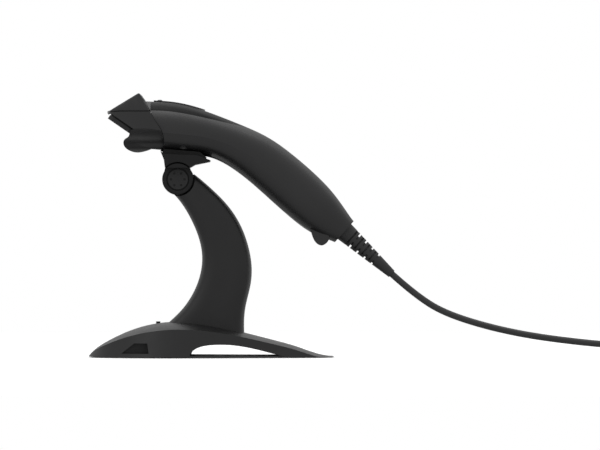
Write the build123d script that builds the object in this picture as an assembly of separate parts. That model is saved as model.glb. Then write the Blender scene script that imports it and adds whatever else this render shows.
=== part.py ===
from build123d import *
import math
import os

# Handheld barcode scanner lying in the cradle of its presentation stand, with its cord.
# Millimetres. The origin is the centre of the base's underside, on the surface it stands on.
# -X is the front, where the scanner looks, +X is the tail, where the cord leaves, -Y is the
# scanner's left side. Outlines are side views, so their points are (x, z).
# Scanner, cradle and arm head are drawn from the pivot's centre, the stand from the origin.

# ---- fits and gaps --------------------------------------------------------
PIVOT_FIT = 0.05          # radial, the pivot bolt in the arm's knuckle
MIRROR_FIT = 0.05         # radial, the mirror's shaft in its bearings
JOINT_GAP = 0.4           # between faces that move past each other
SEAT_GAP = 0.4            # scanner above the cradle's pad
SNUG = 0.1                # pieces that drop into a pocket

# ---- stand ----------------------------------------------------------------
BASE_FRONT = 90.3         # reach in front of the origin
BASE_REAR = 90.7          # reach behind the origin
BASE_WIDTH = 110.0
BASE_TAIL_WIDTH = 56.0
BASE_TAIL_CORNER = 7.0
BASE_DRAFT = 18.0         # lean of the flanks, in degrees
BASE_WALL = 2.4
BASE_CROWN_RADIUS = 223.0
FOOT_HEIGHT = 0.6
PLATE_THICKNESS = 1.0
PLATE_INSET = 2.2
PLATE_REAR = 74.0         # the plate stops short of the thin tail
FOOT_RADIUS = 6.0
ARCH_HEIGHT = 9.8
POCKET_DEPTH = 15.0
POCKET_FLOOR = 3.3
POCKET_ROOF = 10.9
PIVOT_X = -24.3
PIVOT_Z = 131.6
BARREL_RADIUS = 11.6
BARREL_WIDTH = 32.0
BARREL_ROUNDING = 1.4
NECK_GROOVE = 1.2         # between the barrel's ends and the neck above them
NECK_GROOVE_DEPTH = 2.2
KNUCKLE_WIDTH = 14.0
KNUCKLE_RADIUS = 10.0
WASHER_THICKNESS = 0.8
WASHER_RADIUS = 8.0
BOLT_RADIUS = 2.5
BOLT_HEAD_HEIGHT = 3.0
NUT_HEIGHT = 3.0
NUT_RADIUS = 4.6          # across the corners, halved
CAP_RADIUS = 7.4
CAP_RECESS_RADIUS = 8.5
CAP_DEPTH = 2.2
CAP_SINK = 0.4            # the caps lie this far under the barrel's ends
CAP_HOLE_RADIUS = 0.85
CAP_HOLE_CIRCLE = 5.0
CAP_HOLE_DEPTH = 1.4
ARM_FOOT_WIDTH = 38.0
ARM_TOP_WIDTH = 32.0
ARM_WALL = 3.0
ARM_HOLLOW_FLOOR = 32.0   # the arm is solid below this
CRADLE_WIDTH = 50.0
CRADLE_CORE_WIDTH = 40.0  # the middle of the cradle reaches up to the scanner, its wings stay lower
CRADLE_LENGTH = 40.0
CRADLE_CORNER = 9.0
CRADLE_PLACE_X = 5.5      # behind the pivot
PAD_THICKNESS = 1.5
PAD_LENGTH = 26.0
PAD_MARGIN = 7.0
PAD_CORNER = 5.0
PAD_PLACE_X = 4.5
MAGNET_RADIUS = 4.0
MAGNET_THICKNESS = 2.0
MAGNET_PLACE = (3.0, 14.6)    # from the pivot
SCREW_RADIUS = 1.4        # self-tapping screws
SCREW_HEAD_RADIUS = 2.7
SCREW_HEAD_HEIGHT = 1.8
POST_WALL = 2.0           # plastic round a screw

# ---- scanner --------------------------------------------------------------
HEAD_WIDTH = 78.0
BODY_SHOULDER = 72.0      # body width just behind the head
HANDLE_WIDTH = 41.0
TAIL_WIDTH = 23.0
SHELL_WALL = 2.2
HEAD_WALL = 2.4
HEAD_SEAM_GAP = 0.3       # shadow gap between head and body
HOOD_GROOVE = 0.4         # shadow groove under the hood's edge, and its depth
HOOD_GROOVE_DEPTH = 0.8
CHIN_WIDTH = 46.0
RIM_THICKNESS = 3.2
RIM_GROOVE = 1.2
RIM_BORDER = 4.0
WINDOW_THICKNESS = 1.6
INLAY_THICKNESS = 1.0
MIRROR_SHAFT = 1.0        # radius
BUMPER_THICKNESS = 1.6
WINDOW_RECESS = 0.3
LENS_LENGTH = 12.0
LENS_WIDTH = 4.6
LIGHT_RADIUS = 1.8
LIGHT_LENGTH = 8.8
LIGHT_DOME = 0.35         # rise of the light's rounded end, as a share of its radius
HOUSING_SCREW_LENGTH = 14.0
TRIGGER_WIDTH = 19.0
TRIGGER_LENGTH = 38.0
TRIGGER_RISE = 1.0        # how far the button stands above the body
TRIGGER_THICKNESS = 2.6
BOARD_THICKNESS = 1.6
BOARD_WIDTH = 30.0
BOARD_LENGTH = 72.0
FOOT_PAD_WIDTH = 20.0
LABEL_LENGTH = 24.0
LABEL_WIDTH = 16.0
LABEL_THICKNESS = 0.5

# ---- cord -----------------------------------------------------------------
CORD_RADIUS = 2.5
BOOT_LENGTH = 47.0
BOOT_BIG_RADIUS = 7.5
BOOT_SMALL_RADIUS = 3.15
BOOT_COLLAR = 6.0
BOOT_NECK_RADIUS = 5.4
BOOT_FLANGE_RADIUS = 7.2
BOOT_FLANGE = 2.0
BOOT_SLOT_WIDTH = 1.3
BOOT_SLOT_DEPTH = 0.62     # share of the wall between slot floor and surface that is cut
BOOT_WEB = 3.0
TAIL_WALL = 3.0           # end wall of the handle, clamped between the boot's flange and collar
BOOT_SLOTS = 8
BOOT_PLAIN_END = 14.0
COIL_CENTRE = (329.0, 35.0)
COIL_RADIUS = 27.5        # middle of the turns, which lie four wide and two high
COIL_BUNDLE_WIDTH = 20.4
COIL_BUNDLE_HEIGHT = 10.2
COIL_CORNER = 2.4
TIE_WIDTH = 9.0
TIE_WALL = 1.0
PLUG_WIDTH = 15.5
PLUG_THICKNESS = 8.4
PLUG_LENGTH = 30.0
PLUG_CORNER = 2.0
USB_WIDTH = 12.0
USB_HEIGHT = 4.5
USB_LENGTH = 18.7
USB_WALL = 0.4
USB_TONGUE = 1.8

WIDE = 200.0              # larger than the object, for cutting blocks


# ---- helpers --------------------------------------------------------------
def side_prism(face, half_width):
    """A side-view face, drawn in X and Z, extruded both ways along Y."""
    return extrude(Plane.XZ * face, amount=half_width, both=True)


def polygon(points):
    """A closed straight-sided face."""
    return make_face(Polyline(*points, close=True))


def curved(points, closing=()):
    """A face bounded by one smooth curve through points and straight lines through closing."""
    curve = Spline(*points)
    return make_face([curve, Polyline(points[-1], *closing, points[0])])


def y_cylinder(radius, y_low, y_high, x, z):
    """A cylinder along Y between two places."""
    disc = Plane(origin=(x, y_low, z), z_dir=(0, 1, 0)) * Circle(radius)
    return extrude(disc, amount=y_high - y_low)


def from_pivot(points):
    """Side-view points that are drawn from the pivot's centre."""
    return [(x + PIVOT_X, z + PIVOT_Z) for x, z in points]


def egg_face(top, under, widest, half_width, power_up, power_down, kink=0.0):
    """One cross-section from an underside point to a top point.

    widest is the share of the height at which the section is widest, and kink is the angle in
    degrees by which the lower half turns in there.
    """
    across = Vector(top[0] - under[0], 0, top[1] - under[1])
    height = across.length
    across = across.normalized()
    low = height * widest
    high = height - low
    centre = Vector(under[0], 0, under[1]) + across * low
    plane = Plane(origin=centre, x_dir=(0, 1, 0), z_dir=(across.Z, 0, -across.X))

    def quarter(reach, power, steps=4):
        points = []
        for step in range(1, steps):
            angle = math.radians(90 * step / steps)
            points.append((half_width * math.cos(angle) ** (2 / power),
                           reach * math.sin(angle) ** (2 / power)))
        return points

    slope = math.radians(kink)
    upper = [(half_width, 0)] + quarter(high, power_up) + [(0, high)]
    lower = [(half_width, 0)] + [(x * (1 - 0.35 * slope * (1 - x / half_width)), -y)
                                 for x, y in quarter(low, power_down)] + [(0, -low)]
    edges = []
    for side in (1, -1):
        up = Spline(*[(side * x, y) for x, y in upper], tangents=[(0, 1), (-side, 0)])
        down = Spline(*[(side * x, y) for x, y in lower],
                      tangents=[(-side * math.sin(slope), -math.cos(slope)), (-side, 0)])
        edges += [up, down]
    return plane * make_face(edges)


def inset_pair(top, under, wall):
    """A section's top and underside points, moved towards each other by a wall."""
    span = math.hypot(top[0] - under[0], top[1] - under[1])
    step = wall / span
    new_top = (top[0] + (under[0] - top[0]) * step, top[1] + (under[1] - top[1]) * step)
    new_under = (under[0] + (top[0] - under[0]) * step, under[1] + (top[1] - under[1]) * step)
    return new_top, new_under


def axis_plane(point, direction):
    """A plane at a side-view point whose normal is a side-view direction."""
    return Plane(origin=(point[0], 0, point[1]), x_dir=(0, 1, 0), z_dir=(direction[0], 0, direction[1]))


# ---- base -----------------------------------------------------------------
# centre line of the base's top: share of the reach from the origin, height
BASE_TOP = [(-1.0, 1.2), (-0.92, 8.0), (-0.83, 12.9), (-0.63, 20.9), (-0.33, 26.2), (0.0, 23.9),
            (0.25, 18.9), (0.485, 13.5), (0.71, 7.8), (1.0, 1.1)]
BASE_LOW = -20.0          # cutting blocks start below the floor


def crowned_block(lower=0.0):
    """Everything under the base's crowned top, lowered by a wall if asked."""
    rail = BASE_WIDTH * 0.62
    drop = BASE_CROWN_RADIUS - math.sqrt(BASE_CROWN_RADIUS ** 2 - rail ** 2)
    faces = []
    for share, height in BASE_TOP:
        x = share * (BASE_FRONT if share < 0 else BASE_REAR)
        top = height - lower
        arc = ThreePointArc((-rail, top - drop), (0, top), (rail, top - drop))
        sides = Polyline((rail, top - drop), (rail, BASE_LOW), (-rail, BASE_LOW), (-rail, top - drop))
        faces.append(Plane(origin=(x, 0, 0), x_dir=(0, 1, 0), z_dir=(1, 0, 0)) * make_face([arc, sides]))
    return loft(faces)


def plan_face(height, inset):
    """The base's outline seen from above: a round nose, and flanks that close in to the tail."""
    half = BASE_WIDTH / 2 - inset
    tail_half = BASE_TAIL_WIDTH / 2 - inset
    nose = -BASE_FRONT + inset
    rear = BASE_REAR - inset
    shoulder = -0.3 * BASE_FRONT
    corner = BASE_TAIL_CORNER
    edges = []
    for side in (1, -1):
        middle = (shoulder + (nose - shoulder) * 0.7071, side * half * 0.7071)
        edges.append(Spline((nose, 0), middle, (shoulder, side * half), tangents=[(0, side), (1, 0)]))
        edges.append(Spline((shoulder, side * half), (0.2 * BASE_REAR, side * (half * 0.6 + tail_half * 0.4)),
                            (rear - corner, side * tail_half), tangents=[(1, 0), (1, -side * 0.42)]))
        edges.append(Spline((rear - corner, side * tail_half), (rear, side * (tail_half - 1.6 * corner)),
                            tangents=[(1, -side * 0.42), (0, -side)]))
    flat = tail_half - 1.6 * corner
    edges.append(Line((rear, flat), (rear, -flat)))
    return Plane.XY.offset(height) * make_face(edges)


def base_block(wall=0.0):
    """The base's outer form, or its cavity when a wall is given."""
    top_height = 27.0
    lean = top_height * math.tan(math.radians(BASE_DRAFT))
    flanks = loft([plan_face(FOOT_HEIGHT, wall), plan_face(FOOT_HEIGHT + top_height, wall + lean)], ruled=True)
    return flanks & crowned_block(wall)


def arch_block(wall=0.0):
    """The cable tunnel that passes under the base from side to side."""
    high = ARCH_HEIGHT + wall
    points = [(-15.5 - wall, 0), (-12.6 - wall, 0.56 * high), (-3.7, 0.93 * high), (4.4, high),
              (14.1, 0.98 * high), (34.8 + wall, 0.62 * high), (58.5 + 2 * wall, 0)]
    return side_prism(curved(points, [(58.5 + 2 * wall, BASE_LOW), (-15.5 - wall, BASE_LOW)]), WIDE)


def pocket_block(side, wall=0.0):
    """The finger pocket in one flank of the base."""
    low = POCKET_FLOOR - wall
    high = POCKET_ROOF + wall
    points = [(-65.5 - wall, low), (-56.0 - wall, high), (-46.3 + wall, high), (-45.2 + wall, low)]
    face = Plane(origin=(0, side * (BASE_WIDTH / 2 - POCKET_DEPTH - wall), 0), x_dir=(1, 0, 0),
                 z_dir=(0, -1, 0)) * polygon(points)
    return extrude(face, amount=-side * WIDE)


BASE_SCREWS = [(-66.0, 24.0), (-66.0, -24.0), (66.0, 12.0), (66.0, -12.0)]
BASE_SCREW_LENGTH = 3.6
BASE_FEET = [(-74.0, 0.0), (-34.0, 42.0), (-34.0, -42.0), (64.0, 26.0), (64.0, -26.0)]
ARM_SCREWS_Y = 9.0
ARM_SCREW_X = -3.0
ARM_SCREW_HEAD_Z = 17.5
ARM_FOOT_SCREW_LENGTH = 12.0
SOLID_TAIL_X = 46.0       # the base is solid behind this
NUB_PLACE = (-39.0, 25.0)     # small round boss in front of the arm
NUB_RADIUS = 1.6
NUB_HEIGHT = 3.2
BALLAST_PLACE_X = -46.0
BALLAST_SIZE = (32.0, 60.0, 9.0)
BALLAST_CORNER = 8.0


def plate_block(clearance=0.0):
    """The steel plate's slab, let into the base's underside."""
    face = plan_face(FOOT_HEIGHT, PLATE_INSET - clearance)
    rear = Pos(PLATE_REAR + clearance, 0, 0) * Box(WIDE, WIDE, WIDE, align=(
        Align.MIN, Align.CENTER, Align.CENTER))
    return extrude(face, amount=PLATE_THICKNESS + clearance) - rear


def base_screw(x, y):
    """A countersunk screw through the plate into the cover."""
    head = Pos(x, y, FOOT_HEIGHT) * Cone(SCREW_HEAD_RADIUS, SCREW_RADIUS, PLATE_THICKNESS,
                                         align=(Align.CENTER, Align.CENTER, Align.MIN))
    shank = Pos(x, y, FOOT_HEIGHT + PLATE_THICKNESS) * Cylinder(
        SCREW_RADIUS, BASE_SCREW_LENGTH, align=(Align.CENTER, Align.CENTER, Align.MIN))
    return head + shank


def build_base(outer):
    """Cover, plate, ballast, feet and screws of the base."""
    plate_top = FOOT_HEIGHT + PLATE_THICKNESS
    cavity = base_block(BASE_WALL) - arch_block(BASE_WALL)
    for side in (1, -1):
        cavity -= pocket_block(side, BASE_WALL)
    for x, y in BASE_SCREWS:
        cavity -= Pos(x, y, 0) * Cylinder(SCREW_RADIUS + POST_WALL, WIDE)
    cavity -= Pos(SOLID_TAIL_X, 0, 0) * Box(WIDE, WIDE, WIDE, align=(Align.MIN, Align.CENTER, Align.CENTER))
    cover = outer - cavity - arch_block() - plate_block(SNUG)
    for side in (1, -1):
        cover -= pocket_block(side)
    for x, y in BASE_SCREWS:
        cover -= base_screw(x, y)
    for side in (1, -1):
        hole = Pos(ARM_SCREW_X, side * ARM_SCREWS_Y, ARM_SCREW_HEAD_Z) * Cylinder(
            SCREW_RADIUS + SNUG, ARM_FOOT_SCREW_LENGTH, align=(Align.CENTER, Align.CENTER, Align.MIN))
        cover -= hole
    nub = Pos(NUB_PLACE[0], 0, NUB_PLACE[1]) * Cylinder(NUB_RADIUS, NUB_HEIGHT)
    cover += nub - cavity
    plate = plate_block()
    feet = []
    for x, y in BASE_FEET:
        feet.append(Pos(x, y, 0) * Cylinder(FOOT_RADIUS, FOOT_HEIGHT,
                                            align=(Align.CENTER, Align.CENTER, Align.MIN)))
    for x, y in BASE_SCREWS:
        plate -= base_screw(x, y)
    length, width, height = BALLAST_SIZE
    ballast_plan = Plane.XY.offset(plate_top) * Pos(BALLAST_PLACE_X, 0) * RectangleRounded(
        length, width, BALLAST_CORNER)
    ballast = extrude(ballast_plan, amount=height)
    ballast &= base_block(BASE_WALL + 1.0)
    export("base_cover", cover)
    export("base_plate", plate)
    export("base_ballast", ballast)
    export("base_feet", Compound(feet))
    export("base_screws", Compound([base_screw(x, y) for x, y in BASE_SCREWS]))


# ---- arm ------------------------------------------------------------------
# front edge and rear edge of the arm, from its foot to its head
ARM_STATIONS = [((-40.0, 15.0), (20.0, 9.0)), ((-23.0, 33.5), (24.6, 31.0)), ((-11.8, 50.0), (28.4, 50.0)),
                ((-6.6, 68.0), (30.0, 67.0)), ((-8.0, 85.5), (26.4, 86.0)), ((-14.2, 101.5), (18.6, 103.5)),
                ((-22.4, 115.0), (7.6, 117.6)), ((-31.0, 124.5), (-5.0, 129.4)),
                ((-34.5, 129.5), (-12.2, 135.3))]
ARM_SHELL_SCREWS = [(4.0, 44.0), (10.5, 68.0), (3.5, 98.0)]
ARM_SHELL_SCREW_HEAD_Y = -7.0
ARM_SHELL_SCREW_TIP_Y = 6.0


def arm_block(wall=0.0):
    """The curved arm as one closed form, or its cavity when a wall is given."""
    faces = []
    last = len(ARM_STATIONS) - 1
    for index, (front, rear) in enumerate(ARM_STATIONS):
        width = ARM_FOOT_WIDTH + (ARM_TOP_WIDTH - ARM_FOOT_WIDTH) * index / last
        pair = inset_pair(rear, front, wall)
        faces.append(egg_face(pair[0], pair[1], 0.5, width / 2 - wall, 4.5, 4.5))
    return loft(faces)


def build_arm(base_outer):
    """Left and right arm shells with their screws."""
    half_knuckle = KNUCKLE_WIDTH / 2
    barrel_space = y_cylinder(BARREL_RADIUS + JOINT_GAP + 0.5, -WIDE, WIDE, PIVOT_X, PIVOT_Z)
    solid = arm_block()
    web = solid & Box(WIDE * 2, KNUCKLE_WIDTH, WIDE * 2)
    knuckle = y_cylinder(KNUCKLE_RADIUS, -half_knuckle, half_knuckle, PIVOT_X, PIVOT_Z)
    arm = solid - barrel_space - base_outer
    arm = arm + (web - base_outer) + knuckle
    hollow = arm_block(ARM_WALL) - y_cylinder(BARREL_RADIUS + ARM_WALL + 2, -WIDE, WIDE, PIVOT_X, PIVOT_Z)
    hollow -= Box(WIDE, WIDE, 2 * ARM_HOLLOW_FLOOR)
    for x, z in ARM_SHELL_SCREWS:
        hollow -= y_cylinder(SCREW_RADIUS + POST_WALL, -WIDE, WIDE, x, z)
    arm = arm - hollow - y_cylinder(BOLT_RADIUS + PIVOT_FIT, -WIDE, WIDE, PIVOT_X, PIVOT_Z)
    screws = []
    for x, z in ARM_SHELL_SCREWS:
        shank = y_cylinder(SCREW_RADIUS, ARM_SHELL_SCREW_HEAD_Y, ARM_SHELL_SCREW_TIP_Y, x, z)
        head = y_cylinder(SCREW_HEAD_RADIUS, ARM_SHELL_SCREW_HEAD_Y - SCREW_HEAD_HEIGHT,
                          ARM_SHELL_SCREW_HEAD_Y, x, z)
        screws.append(shank + head)
    for screw in screws:
        arm -= screw
    foot_screws = []
    for side in (1, -1):
        place = Pos(ARM_SCREW_X, side * ARM_SCREWS_Y, ARM_SCREW_HEAD_Z)
        low = (Align.CENTER, Align.CENTER, Align.MAX)
        up = (Align.CENTER, Align.CENTER, Align.MIN)
        foot_screws.append(place * Cylinder(SCREW_HEAD_RADIUS, SCREW_HEAD_HEIGHT, align=low)
                           + place * Cylinder(SCREW_RADIUS, ARM_FOOT_SCREW_LENGTH, align=up))
        arm -= foot_screws[-1]
    half_space = Pos(0, -WIDE, 0) * Box(4 * WIDE, 2 * WIDE, 4 * WIDE)
    export("arm_left_shell", arm & half_space)
    export("arm_right_shell", arm - half_space)
    export("arm_shell_screws", Compound(screws))
    export("arm_foot_screws", Compound(foot_screws))


# ---- pivot and cradle -----------------------------------------------------
CRADLE_NECK = [(-9.4, 8.5), (-10.2, 14.5), (-12.7, 20.6), (-9.6, 18.7), (14.0, 17.9), (23.9, 14.2),
               (23.6, 13.0), (12.5, 10.7), (8.8, 8.5)]
CRADLE_CORE = [(-9.8, 14.0), (-12.0, 19.0), (-10.0, 22.5), (14.0, 22.0), (21.0, 16.4), (20.0, 14.0)]
CRADLE_FOOT = [(-9.4, 8.5), (-11.4, 0), (11.4, 0), (8.8, 8.5)]


def build_pivot():
    """Bolt, nut, washers and the two drilled caps."""
    half = BARREL_WIDTH / 2
    seat = half - CAP_DEPTH
    bolt = y_cylinder(BOLT_RADIUS, -seat + BOLT_HEAD_HEIGHT, seat, PIVOT_X, PIVOT_Z)
    bolt += y_cylinder(2 * BOLT_RADIUS, -seat, -seat + BOLT_HEAD_HEIGHT, PIVOT_X, PIVOT_Z)
    hexagon = Plane(origin=(PIVOT_X, seat - NUT_HEIGHT, PIVOT_Z), z_dir=(0, 1, 0)) * RegularPolygon(
        NUT_RADIUS, 6, major_radius=True)
    nut = extrude(hexagon, amount=NUT_HEIGHT) - y_cylinder(BOLT_RADIUS, -WIDE, WIDE, PIVOT_X, PIVOT_Z)
    washers = []
    for side in (1, -1):
        inner = side * KNUCKLE_WIDTH / 2
        outer = side * (KNUCKLE_WIDTH / 2 + WASHER_THICKNESS)
        low, high = sorted((inner, outer))
        washers.append(y_cylinder(WASHER_RADIUS, low, high, PIVOT_X, PIVOT_Z)
                       - y_cylinder(BOLT_RADIUS + SNUG, -WIDE, WIDE, PIVOT_X, PIVOT_Z))
    export("pivot_bolt", bolt)
    export("pivot_nut", nut)
    export("friction_washers", Compound(washers))
    for name, side in (("left", -1), ("right", 1)):
        low, high = sorted((side * seat, side * (half - CAP_SINK)))
        cap = y_cylinder(CAP_RADIUS, low, high, PIVOT_X, PIVOT_Z)
        low, high = sorted((side * (half - CAP_SINK - CAP_HOLE_DEPTH), side * half))
        for index in range(6):
            angle = math.radians(60 * index)
            cap -= y_cylinder(CAP_HOLE_RADIUS, low, high, PIVOT_X + CAP_HOLE_CIRCLE * math.cos(angle),
                              PIVOT_Z + CAP_HOLE_CIRCLE * math.sin(angle))
        export(name + "_pivot_cap", cap)
    return bolt, nut


def build_cradle(bolt, nut):
    """The tilting cradle with its two ears, soft pad and magnet."""
    half = BARREL_WIDTH / 2
    ear_inner = KNUCKLE_WIDTH / 2 + WASHER_THICKNESS
    barrel = y_cylinder(BARREL_RADIUS, -half, half, PIVOT_X, PIVOT_Z)
    barrel = fillet(barrel.edges(), BARREL_ROUNDING)
    neck = side_prism(polygon(from_pivot(CRADLE_FOOT)), half)
    saddle = side_prism(polygon(from_pivot(CRADLE_NECK)), CRADLE_WIDTH / 2)
    plan = Plane.XY.offset(PIVOT_Z) * Pos(PIVOT_X + CRADLE_PLACE_X, 0) * RectangleRounded(
        CRADLE_LENGTH, CRADLE_WIDTH, CRADLE_CORNER)
    saddle &= extrude(plan, amount=WIDE)
    saddle += side_prism(polygon(from_pivot(CRADLE_CORE)), CRADLE_CORE_WIDTH / 2)
    slot = y_cylinder(BARREL_RADIUS + JOINT_GAP, -ear_inner, ear_inner, PIVOT_X, PIVOT_Z)
    slot += Pos(PIVOT_X, 0, PIVOT_Z) * Box(2 * BARREL_RADIUS + 2, 2 * ear_inner, 2 * BARREL_RADIUS + 1,
                                           align=(Align.CENTER, Align.CENTER, Align.MAX))
    cradle = barrel + neck + saddle - slot
    for side in (1, -1):
        low, high = sorted((side * (half - CAP_DEPTH), side * WIDE))
        cradle -= y_cylinder(CAP_RECESS_RADIUS, low, high, PIVOT_X, PIVOT_Z)
        low, high = sorted((side * (half - NECK_GROOVE_DEPTH), side * WIDE))
        cradle -= (y_cylinder(BARREL_RADIUS + NECK_GROOVE, low, high, PIVOT_X, PIVOT_Z)
                   - y_cylinder(BARREL_RADIUS, low, high, PIVOT_X, PIVOT_Z))
    cradle = cradle - bolt - nut
    seat = grown_scanner(SEAT_GAP)
    pad_seat = grown_scanner(SEAT_GAP + PAD_THICKNESS)
    pad_plan = Plane.XY.offset(PIVOT_Z) * Pos(PIVOT_X + PAD_PLACE_X, 0) * RectangleRounded(
        PAD_LENGTH, CRADLE_WIDTH - 2 * PAD_MARGIN, PAD_CORNER)
    pad_zone = extrude(pad_plan, amount=WIDE)
    pad = (pad_zone & pad_seat & saddle) - seat
    cradle = cradle - seat - (pad_zone & pad_seat)
    magnet_place = Pos(PIVOT_X + MAGNET_PLACE[0], 0, PIVOT_Z + MAGNET_PLACE[1])
    magnet = magnet_place * Cylinder(
        MAGNET_RADIUS, MAGNET_THICKNESS, align=(Align.CENTER, Align.CENTER, Align.MAX))
    pad -= magnet
    cradle -= magnet
    export("cradle", cradle)
    export("cradle_pad", pad)
    export("cradle_magnet", magnet)


# ---- scanner --------------------------------------------------------------
# top point, underside point, width, share of the height where it is widest, kink in degrees
BODY_STATIONS = [
    ((-32.0, 57.2), (-22.0, 22.0), 0.99, 0.36, 26), ((-18.0, 57.5), (-9.0, 20.4), 0.97, 0.38, 26),
    ((-2.0, 56.2), (5.0, 19.0), 0.86, 0.38, 24), ((14.5, 52.4), (17.5, 17.6), 0.70, 0.40, 20),
    ((31.5, 46.4), (28.5, 14.6), 0.50, 0.43, 14), ((49.0, 39.4), (41.3, 7.4), 0.27, 0.46, 6),
    ((66.0, 31.4), (54.0, -2.4), 0.10, 0.48, 0), ((84.0, 18.9), (68.0, -14.8), 0.01, 0.50, 0),
    ((100.0, 5.2), (82.0, -27.2), -0.02, 0.50, 0), ((115.0, -10.4), (97.0, -38.4), -0.30, 0.50, 0),
    ((124.2, -23.0), (107.8, -43.4), -0.72, 0.50, 0), ((130.4, -31.4), (117.0, -46.9), -1.0, 0.50, 0)]
HEAD_SEAM = [(-20.5, 62.0), (-23.8, 57.8), (-21.6, 52.9), (-17.9, 45.5), (-12.7, 37.3), (-10.5, 31.4),
             (-10.7, 25.4), (-13.4, 20.7), (-16.0, 12.0)]
HOOD_SEAM_Z = 50.0        # the hood's lower edge
HOOD_SEAM_X = -41.7       # front end of that edge; from here it runs to the tip
HOOD_TIP = (-52.1, 49.2)
HOOD_APEX = (-28.2, 63.6)
HOOD_REAR = (-23.4, 57.0)
FACE_FRONT = (-48.0, 47.8)    # the slanted window face of the head, front and rear ends
FACE_REAR = (-31.8, 36.6)
CHIN = [(-34.6, 35.6), (-36.0, 31.6), (-39.2, 29.2), (-40.0, 26.4), (-38.8, 23.6), (-35.6, 21.2),
        (-30.5, 20.0), (-24.5, 21.0), (-20.0, 22.6)]
BUMPER_EDGE = [(-42.0, 27.6), (-38.6, 26.8), (-32.0, 26.6), (-26.0, 24.6), (-19.8, 22.8)]
INLAY_EDGE = [(-20.0, 50.6), (-2.3, 49.6), (16.2, 46.2), (31.0, 42.9), (50.9, 38.6)]
LENS_PLACE = (-39.6, 26.6)
TRIGGER_HINGE_X = 20.0    # rear end of the button
TRIGGER_PIN_X = 12.0
TRIGGER_PIN_Z = 50.2
TRIGGER_PIN_RADIUS = 0.8
SWITCH_BOARD_X = -8.0
SWITCH_BOARD_Z = 48.6
SWITCH_POST_Y = 13.0
SWITCH_BOARD_LENGTH = 20.0
SWITCH_BOARD_THICKNESS = 1.2
SWITCH_OFFSET_X = 3.0     # from the switch board's middle
SWITCH_SIDE = 6.0
SWITCH_HEIGHT = 3.4
PLUNGER_RADIUS = 1.6
PLUNGER_HEIGHT = 1.35
BOARD_START = (30.0, 30.0)    # main board, front end of its underside, and its direction
BOARD_DIRECTION = (0.827, -0.562)
BOARD_POST_RADIUS = 2.2
# chips on the main board: place along and across it, width, length, height
CHIPS = [(34.0, 6.0, 10.0, 10.0, 1.2), (20.0, -8.0, 5.0, 6.0, 1.6), (50.0, -9.0, 6.0, 4.0, 2.4),
         (47.0, 8.0, 4.0, 8.0, 1.0)]
BEEPER_PLACE = (9.0, 3.0)
BEEPER_RADIUS = 5.5
BEEPER_HEIGHT = 5.0
BEEPER_HOLE_RADIUS = 0.8
JACK_FROM_END = 8.0
JACK_SIZE = (12.0, 14.0, 8.0)     # width, length, height
JACK_MOUTH = (9.0, 5.0)
ENGINE = (-6.0, 31.0)     # middle of the laser engine's floor
ENGINE_LENGTH = 24.0
ENGINE_WIDTH = 40.0
ENGINE_WALL = 2.0
ENGINE_REAR_HEIGHT = 14.0
ENGINE_SIDE_HEIGHT = 10.0
BRIDGE_THICKNESS = 1.6
MIRROR_OFFSET_X = 1.0
MIRROR_ANGLE = 45.0
MIRROR_SIZE = (1.2, 12.0, 10.6)
LASER_RADIUS = 3.5
LASER_ENDS = (-17.5, -7.5)
LASER_HEIGHT = 7.5
DETECTOR_ANGLE = 25.0
SCREWS = [(4.0, 26.0, 27.5, (0.0, 1.0)), (4.0, -26.0, 27.5, (0.0, 1.0)), (58.0, 0.0, -0.5, (0.56, 0.83))]
LIGHT_X = -13.5
LIGHT_Z = 58.4
LABEL_PLACE = (89.0, -30.0)
LABEL_NORMAL = (0.64, 0.77)
FOOT_PAD = [(97.3, -35.2), (100.2, -44.0), (103.5, -48.0), (105.8, -48.8), (108.7, -47.9),
            (111.8, -43.0), (108.0, -38.0)]
BOOT_START = (123.1, -38.5)
BOOT_DIRECTION = (0.744, -0.668)


def body_width(share):
    """Section width: 1 is the shoulder, 0 the handle and -1 the tail end."""
    if share >= 0:
        return HANDLE_WIDTH + share * (BODY_SHOULDER - HANDLE_WIDTH)
    return HANDLE_WIDTH + share * (HANDLE_WIDTH - TAIL_WIDTH)


def body_block(wall=0.0):
    """The scanner's body and handle as one closed form; a negative wall makes it larger."""
    faces = []
    for top, under, share, widest, kink in BODY_STATIONS:
        top, under = from_pivot([top, under])
        top, under = inset_pair(top, under, wall)
        faces.append(egg_face(top, under, widest, body_width(share) / 2 - wall, 2.7, 2.3, kink))
    return loft(faces)


def front_zone(gap=0.0):
    """Everything in front of the seam between head and body, and a gap more."""
    seam = from_pivot([(x + gap, z) for x, z in HEAD_SEAM])
    low = (seam[-1][0], -WIDE)
    face = curved(seam, [low, (-WIDE, -WIDE), (-WIDE, WIDE), (seam[0][0], WIDE)])
    return side_prism(face, WIDE)


def upper_zone(wall=0.0):
    """Everything above the seam between the upper and the lower shell."""
    seam = []
    for top, under, share, widest, kink in BODY_STATIONS:
        top, under = from_pivot([top, under])
        seam.append((under[0] + (top[0] - under[0]) * widest, under[1] + (top[1] - under[1]) * widest))
    first = (seam[0][0] - 60, seam[0][1] + 2)
    last = (seam[-1][0] + 20, seam[-1][1] - 16)
    seam = [first] + seam + [last]
    face = curved(seam, [(WIDE * 2, last[1]), (WIDE * 2, WIDE * 2), (first[0], WIDE * 2)])
    return side_prism(face, WIDE)


def head_outline():
    """The head's side outline without the hood, from the hood's seam round to the chin."""
    chin = from_pivot(CHIN)
    front, rear, tip = from_pivot([FACE_FRONT, FACE_REAR, HOOD_TIP])
    seam, back = from_pivot([(HOOD_SEAM_X, HOOD_SEAM_Z), (0.0, HOOD_SEAM_Z)])
    bottom = from_pivot([(0.0, 21.0)])[0]
    curve = Spline(*([rear] + chin))
    lines = Polyline(chin[-1], bottom, back, seam, tip, front, rear)
    return make_face([curve, lines])


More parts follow.
